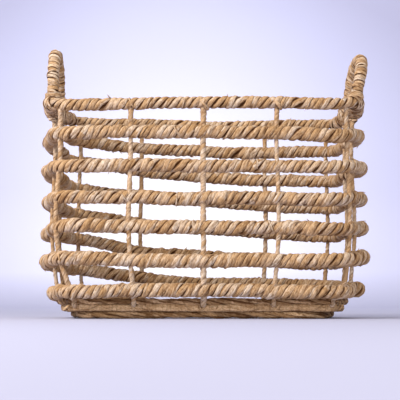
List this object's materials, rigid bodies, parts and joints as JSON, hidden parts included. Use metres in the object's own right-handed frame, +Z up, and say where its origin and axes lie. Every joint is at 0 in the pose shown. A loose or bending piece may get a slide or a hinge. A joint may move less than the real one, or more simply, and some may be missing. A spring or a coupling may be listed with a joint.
{
  "type": "magazine basket",
  "caption": "Open rectangular basket of twisted leaf rope twined in a spiral round upright wires, with a low bordered base and a wound arched handle on each short side.",
  "frame": {"origin": "on the floor, under the middle of the basket", "axes": "+X along the length to the right-hand handle, +Y from the front to the back, +Z up"},
  "size_m": [0.4003, 0.258, 0.3265],
  "materials": {
    "leaf_rope": "twisted dried leaf rope, matt with a faint waxy sheen",
    "leaf_wrap": "dried leaf strips wound flat, matt",
    "leaf_border": "bundled dried leaf, lengthwise fibres, matt",
    "wire": "plain drawn wire",
    "cane": "bare bent cane"
  },
  "bodies": {
    "root": {"base_bar_1": "wire", "base_bar_2": "wire", "base_bar_3": "wire", "base_bar_4": "wire", "base_bar_5": "wire", "base_border_lower": "leaf_border", "base_border_upper": "leaf_border", "floor_rope_1": "leaf_rope", "floor_rope_2": "leaf_rope", "floor_rope_3": "leaf_rope", "floor_rope_4": "leaf_rope", "floor_rope_5": "leaf_rope", "floor_rope_6": "leaf_rope", "floor_rope_7": "leaf_rope", "floor_rope_8": "leaf_rope", "floor_rope_9": "leaf_rope", "handle_binding_left_back": "leaf_wrap", "handle_binding_left_front": "leaf_wrap", "handle_binding_right_back": "leaf_wrap", "handle_binding_right_front": "leaf_wrap", "handle_core_left": "cane", "handle_core_right": "cane", "handle_wrap_left": "leaf_wrap", "handle_wrap_right": "leaf_wrap", "rim_hoop": "wire", "rim_rope": "leaf_rope", "stake_back_1": "leaf_wrap", "stake_back_2": "leaf_wrap", "stake_back_3": "leaf_wrap", "stake_back_4": "leaf_wrap", "stake_back_5": "leaf_wrap", "stake_front_1": "leaf_wrap", "stake_front_2": "leaf_wrap", "stake_front_3": "leaf_wrap", "stake_front_4": "leaf_wrap", "stake_front_5": "leaf_wrap", "stake_left_back": "leaf_wrap", "stake_left_front": "leaf_wrap", "stake_right_back": "leaf_wrap", "stake_right_front": "leaf_wrap", "weave_turn_1": "leaf_rope", "weave_turn_2": "leaf_rope", "weave_turn_3": "leaf_rope", "weave_turn_4": "leaf_rope", "weave_turn_5": "leaf_rope", "weave_turn_6": "leaf_rope"}
  },
  "joints": []
}
